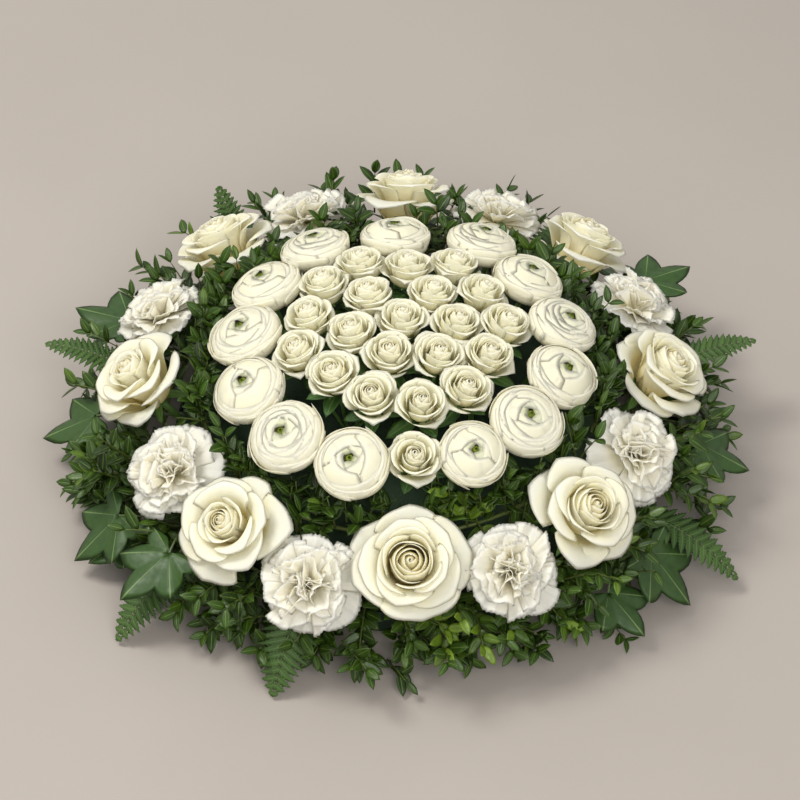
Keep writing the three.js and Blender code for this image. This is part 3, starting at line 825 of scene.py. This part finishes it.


# In each petal look, the darkest, warmest colour is partly the petals' warmer base and partly painted warm
# shade between the petals.
ROSE_PETAL = petal_look(
    "rose_petal",
    outer=(0.975, 0.96, 0.85),
    heart=(0.985, 0.935, 0.7),
    warm_base_and_gap_shade=(0.985, 0.89, 0.5),
    foot=(0.85, 0.9, 0.4),
    rim=(0.98, 0.967, 0.89),
)
CARNATION_PETAL = petal_look(
    "carnation_petal",
    outer=(0.98, 0.967, 0.905),
    heart=(0.985, 0.96, 0.86),
    warm_base_and_gap_shade=(0.98, 0.925, 0.7),
    foot=(0.85, 0.9, 0.5),
    rim=(0.985, 0.975, 0.93),
)
RANUNCULUS_PETAL = petal_look(
    "ranunculus_petal",
    outer=(0.98, 0.955, 0.83),
    heart=(0.975, 0.955, 0.81),
    warm_base_and_gap_shade=(0.97, 0.915, 0.6),
    foot=(0.85, 0.88, 0.4),
    rim=(0.985, 0.968, 0.87),
    green_button=True,
)
SPRAY_PETAL = petal_look(
    "spray_rose_petal",
    outer=(0.977, 0.962, 0.84),
    heart=(0.985, 0.955, 0.8),
    warm_base_and_gap_shade=(0.98, 0.925, 0.62),
    foot=(0.74, 0.84, 0.3),
    rim=(0.985, 0.968, 0.88),
    foot_top=0.42,
)
# Where veins are not marked, the vein colour also paints a highlight along the leaf edges.
BOXWOOD_LEAF = leaf_look(
    "boxwood_leaf",
    dark=(0.009, 0.024, 0.002),
    mid=(0.035, 0.08, 0.005),
    fresh=(0.19, 0.3, 0.018),
    vein=(0.17, 0.26, 0.04),
    wood=(0.09, 0.12, 0.025),
)
IVY_LEAF = leaf_look(
    "ivy_leaf",
    dark=(0.014, 0.042, 0.006),
    mid=(0.04, 0.09, 0.016),
    fresh=(0.06, 0.13, 0.02),
    vein=(0.2, 0.29, 0.1),
    wood=(0.1, 0.14, 0.05),
    smoothest=0.4,
    veins_marked=True,
)
FERN_LEAF = leaf_look(
    "fern_leaf",
    dark=(0.03, 0.07, 0.01),
    mid=(0.075, 0.145, 0.025),
    fresh=(0.11, 0.2, 0.04),
    vein=(0.12, 0.2, 0.045),
    wood=(0.09, 0.12, 0.04),
    smoothest=0.5,
)
STEM = leaf_look(
    "stem",
    dark=(0.04, 0.1, 0.02),
    mid=(0.08, 0.17, 0.03),
    fresh=(0.18, 0.28, 0.06),
    vein=(0.15, 0.26, 0.06),
    wood=(0.1, 0.2, 0.04),
    smoothest=0.45,
)
FOAM = block_look(
    "foam", base=(0.022, 0.05, 0.02), dark=(0.008, 0.022, 0.008), scale=900.0, depth=0.0008, roughness=0.9
)
TRAY = block_look(
    "tray", base=(0.014, 0.04, 0.02), dark=(0.01, 0.03, 0.015), scale=260.0, depth=0.0002, roughness=0.45
)

# ---------------------------------------------------------------- places taken from the solids


def stands_for(cloth, name, material, node):
    """Makes a piece that is shown in place of a CAD node."""
    piece = cloth.make(name, material)
    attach(piece, "root")
    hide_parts(node)


def corners(node):
    """A CAD node's separate corners, in millimetres."""
    local = np.array([v.co for v in nodes[node].data.vertices])
    turn = np.array(nodes[node].matrix_world)
    points = (local @ turn[:3, :3].T + turn[:3, 3]) / MM
    return np.unique(np.round(points, 3), axis=0)


def stem_foot(points, near=5.0):
    """The middle of the corners at the lowest end of a CAD flower."""
    low = points[np.argmin(points[:, 2])]
    return points[np.linalg.norm(points - low, axis=1) < near].mean(axis=0)


def seat(node, reach, swell):
    """Where a CAD flower's bloom is, which way it faces and its size, from its foot and its widest ring."""
    points = corners(node)
    foot = stem_foot(points, near=5.4)
    axis = unit(points.mean(axis=0) - foot)
    off = points - foot
    wide = np.linalg.norm(off - (off @ axis)[:, None] * axis, axis=1).max()
    return foot + reach * axis, axis, float(wide) / swell


def single_flowers(name, bloom, material, count, seed, reach, swell, grow, green):
    """Flowers of one kind that stand one to a stem. bloom(rng, size, i) makes the petals of the i-th."""
    for i in range(count):
        rng = np.random.default_rng(seed + i)
        node = f"{name}_{i + 1}"
        centre, axis, size = seat(node, reach, swell)
        below = flower_green(rng, reach, **green).placed(centre, basis(axis))
        petals = bloom(rng, size * grow, i).placed(centre, basis(axis))
        BLOOMS.append((centre, axis, size))
        stands_for(petals, f"{node}_petals", material, node)
        stands_for(below, f"{node}_green", STEM, node)


def rose_leaves(green, rng, neck, axis):
    """Five leaves of the spray rose itself, spread out under a bloom."""
    first = rng.uniform(*ANY_TURN)
    for k in range(5):
        turn = first + k * 1.26 + rng.uniform(-0.3, 0.3)
        out = np.array([math.cos(turn), math.sin(turn), rng.uniform(-0.1, 0.35)])
        grid, u, v = oval_leaf(rng.uniform(22, 30), rng.uniform(12, 15), 0.15, shape=(5, 8))
        grid = laid(grid, neck + unit(out) * 2 - 2 * axis, out, axis)
        green.sheet(grid, LEAF_THICK, mark(u, v, rng.uniform(-0.4, 0.2), rng.uniform(0, 1)))


def spray(rng, node, radius, grow, crown, ring, fork, neck):
    """The blooms of one branched stem, which goes up to the height fork. Each bloom has its own neck."""
    points = corners(node)
    apart = np.linalg.norm(points[:, None] - points[None], axis=2)
    petals, green = Cloth(), Cloth()
    foot = stem_foot(points)
    top = np.array([foot[0], foot[1], fork])
    green.twig(foot, top, 2.4, sides=7)
    for apex, near in zip(points, np.abs(apart - crown) < 0.03):
        if near.sum() != ring:
            continue
        axis = unit(points[near].mean(axis=0) - apex)
        centre = apex - 0.6 * radius * axis
        BLOOMS.append((centre, axis, radius))
        petals.join(spray_rose(rng, radius * grow).placed(centre, basis(axis)))
        green.join(flower_green(rng, neck, **SPRAY_GREEN).placed(centre, basis(axis)))
        end = centre - neck * axis
        green.twig(top, end, 1.3, sag=-2 * axis)
        rose_leaves(green, rng, end, axis)
    stands_for(petals, f"{node}_petals", SPRAY_PETAL, node)
    stands_for(green, f"{node}_green", STEM, node)


def fern(rng, node, angle, reach, height, length, width, bend):
    """A fern frond on its stalk."""
    end, waist = polar(angle, reach, height), polar(angle, *FERN_WAIST)
    base = end + unit(waist - end) * length
    foliage = Cloth()
    foliage.tube([polar(angle, *FERN_ROOT), waist, base], 1.3)
    fern_frond(foliage, rng, base, end, width, bend)
    face = square_to(end - base)
    BLOOMS.extend((base + (end - base) * share, face, 15 - 6 * share) for share in (0.2, 0.45, 0.7, 0.95))
    stands_for(foliage, f"{node}_leaf", FERN_LEAF, node)


def ivy(rng, node, angle, leaves):
    """An ivy trail: a stem out of the foam, and a leaf stalk from its end to each leaf."""
    waist = polar(angle, *IVY_WAIST)
    foliage = Cloth()
    foliage.twig(polar(angle, *IVY_ROOT), waist, 1.5)
    for turn, radius, height, length, fall in leaves:
        down = math.radians(fall)
        along = polar(turn, math.cos(down), -math.sin(down))
        face = polar(turn, math.sin(down), math.cos(down))
        base = polar(turn, radius, height) + face * IVY_LIFT
        grid, marks = ivy_leaf(rng, length)
        BLOOMS.append((base + along * 0.45 * length, face, 0.4 * length))
        foliage.sheet(laid(grid, base, along, face), LEAF_THICK, marks)
        foliage.twig(waist, base + along * 0.14 * length, 0.9, sides=5, sag=4 * UP)
    stands_for(foliage, f"{node}_leaves", IVY_LEAF, node)


def branch(rng, node, angle, foot, arc, span, back_drop, shoots, tufts):
    """A boxwood branch: a stem out of the foam, an arc along the ring, and leafy shoots and tufts from it."""

    def turns(count, spill):
        """Even turns along the arc and a little past its ends, each one a little off its place."""
        for k in range(count):
            yield angle + span * (2 * (k + 0.5) / count - 1) * spill + rng.uniform(-2, 2)

    def trim(turn, share):
        return 1 - share * max(0.0, -math.sin(math.radians(turn))) ** 3

    foliage = Cloth()
    radius, height = arc
    foliage.twig(polar(angle, *foot), polar(angle, radius, height), 1.7)
    foliage.tube([polar(angle + turn, radius, height) for turn in np.linspace(-span, span, 12)], 1.6)
    for count, radii, heights, bend in shoots:
        for turn in turns(count, spill=1.03):
            base = polar(turn, radius + rng.uniform(-3, 3), height + rng.uniform(-2, 2))
            drop = back_drop * max(0.0, math.sin(math.radians(turn)))
            tip_turn = turn + rng.normal(0, 3)
            tip = polar(tip_turn, rng.uniform(*radii) * trim(turn, SHOOT_TRIM), rng.uniform(*heights) - drop)
            young = 0.32 * math.exp(-(((turn - YOUNG_ANGLE) / YOUNG_SPREAD) ** 2))
            fresh = young + rng.uniform(-0.05, 0.15)
            box_shoot(foliage, rng, base, tip, bend, rng.uniform(-0.5, 0.5), fresh=fresh)
    for count, radii, heights, tilt in tufts:
        for turn in turns(count, spill=1.06):
            base = polar(turn, rng.uniform(*radii) * trim(turn, TUFT_TRIM), rng.uniform(*heights))
            lean = math.radians(tilt + rng.normal(0, 16))
            way = polar(turn + rng.normal(0, 25), math.sin(lean), math.cos(lean))
            tip = base + way * rng.uniform(24, 34)
            box_shoot(foliage, rng, base, tip, 1, rng.uniform(-1, 1), gap=7.5, bare=0.3)
    stands_for(foliage, f"{node}_leaves", BOXWOOD_LEAF, node)


# ================================================================ scene

for name, material in (("foam", FOAM), ("tray", TRAY)):
    nodes[name].data.materials.clear()
    nodes[name].data.materials.append(material)

single_flowers("rose", lambda rng, size, i: rose(rng, size, OPENNESS[i]), ROSE_PETAL, **ROSES)
single_flowers("carnation", lambda rng, size, i: carnation(rng, size), CARNATION_PETAL, **CARNATIONS)
single_flowers(
    "ranunculus",
    lambda rng, size, i: ranunculus(rng, size, *COVERS[i % len(COVERS)]),
    RANUNCULUS_PETAL,
    **RANUNCULUSES,
)
for i in range(SPRAY_COUNT):
    spray(np.random.default_rng(SPRAY_SEED + i), f"spray_rose_{i + 1}", **SPRAYS)
for i, blade in enumerate(FERNS):
    fern(np.random.default_rng(FERN_SEED + i), f"fern_frond_{i + 1}", *blade)
for i, (angle, leaves) in enumerate(IVIES):
    ivy(np.random.default_rng(IVY_SEED + i), f"ivy_trail_{i + 1}", angle, leaves)
for name, angles, seed, kind in BOXWOOD:
    for i, angle in enumerate(angles):
        branch(np.random.default_rng(seed + i), f"{name}_{i + 1}", angle, **kind)

# ---------------------------------------------------------------- stage


def add(name, data):
    thing = bpy.data.objects.new(name, data)
    bpy.context.scene.collection.objects.link(thing)
    return thing


def look_at_wreath(thing, place):
    thing.location = place
    thing.rotation_euler = (AIM - thing.location).to_track_quat("-Z", "Y").to_euler()


def lamp(name, place, size, watts, colour):
    """A round soft light that faces the wreath."""
    data = bpy.data.lights.new(name, "AREA")
    data.shape, data.size, data.energy, data.color = "DISK", size, watts, colour
    look_at_wreath(add(name, data), place)


floor_mesh = bpy.data.meshes.new("table")
square = [(x * TABLE_HALF, y * TABLE_HALF, 0) for x, y in ((-1, -1), (1, -1), (1, 1), (-1, 1))]
floor_mesh.from_pydata(square, [], [(0, 1, 2, 3)])
floor_mesh.materials.append(table_look())
add("table", floor_mesh)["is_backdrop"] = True

lamp("key", (-1.3, 0.2, 2.4), size=1.1, watts=52, colour=(1.0, 0.99, 0.96))
lamp("fill", (0.6, -2.0, 2.0), size=1.6, watts=38, colour=(1.0, 1.0, 1.0))
world = bpy.data.worlds.new("studio")
world.use_nodes = True
background = world.node_tree.nodes["Background"]
background.inputs["Color"].default_value = WORLD_COLOUR
background.inputs["Strength"].default_value = WORLD_STRENGTH
bpy.context.scene.world = world

camera_data = bpy.data.cameras.new("camera")
camera_data.lens, camera_data.sensor_width = LENS, SENSOR
camera = add("camera", camera_data)
elevation = math.radians(ELEVATION)
look_at_wreath(camera, AIM + DISTANCE * Vector((0, -math.cos(elevation), math.sin(elevation))))
bpy.context.scene.camera = camera
bpy.context.scene.view_settings.view_transform = "Standard"

[[list(map(float, corner)) for corner in box] for box in (CAD_BOX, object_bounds())]
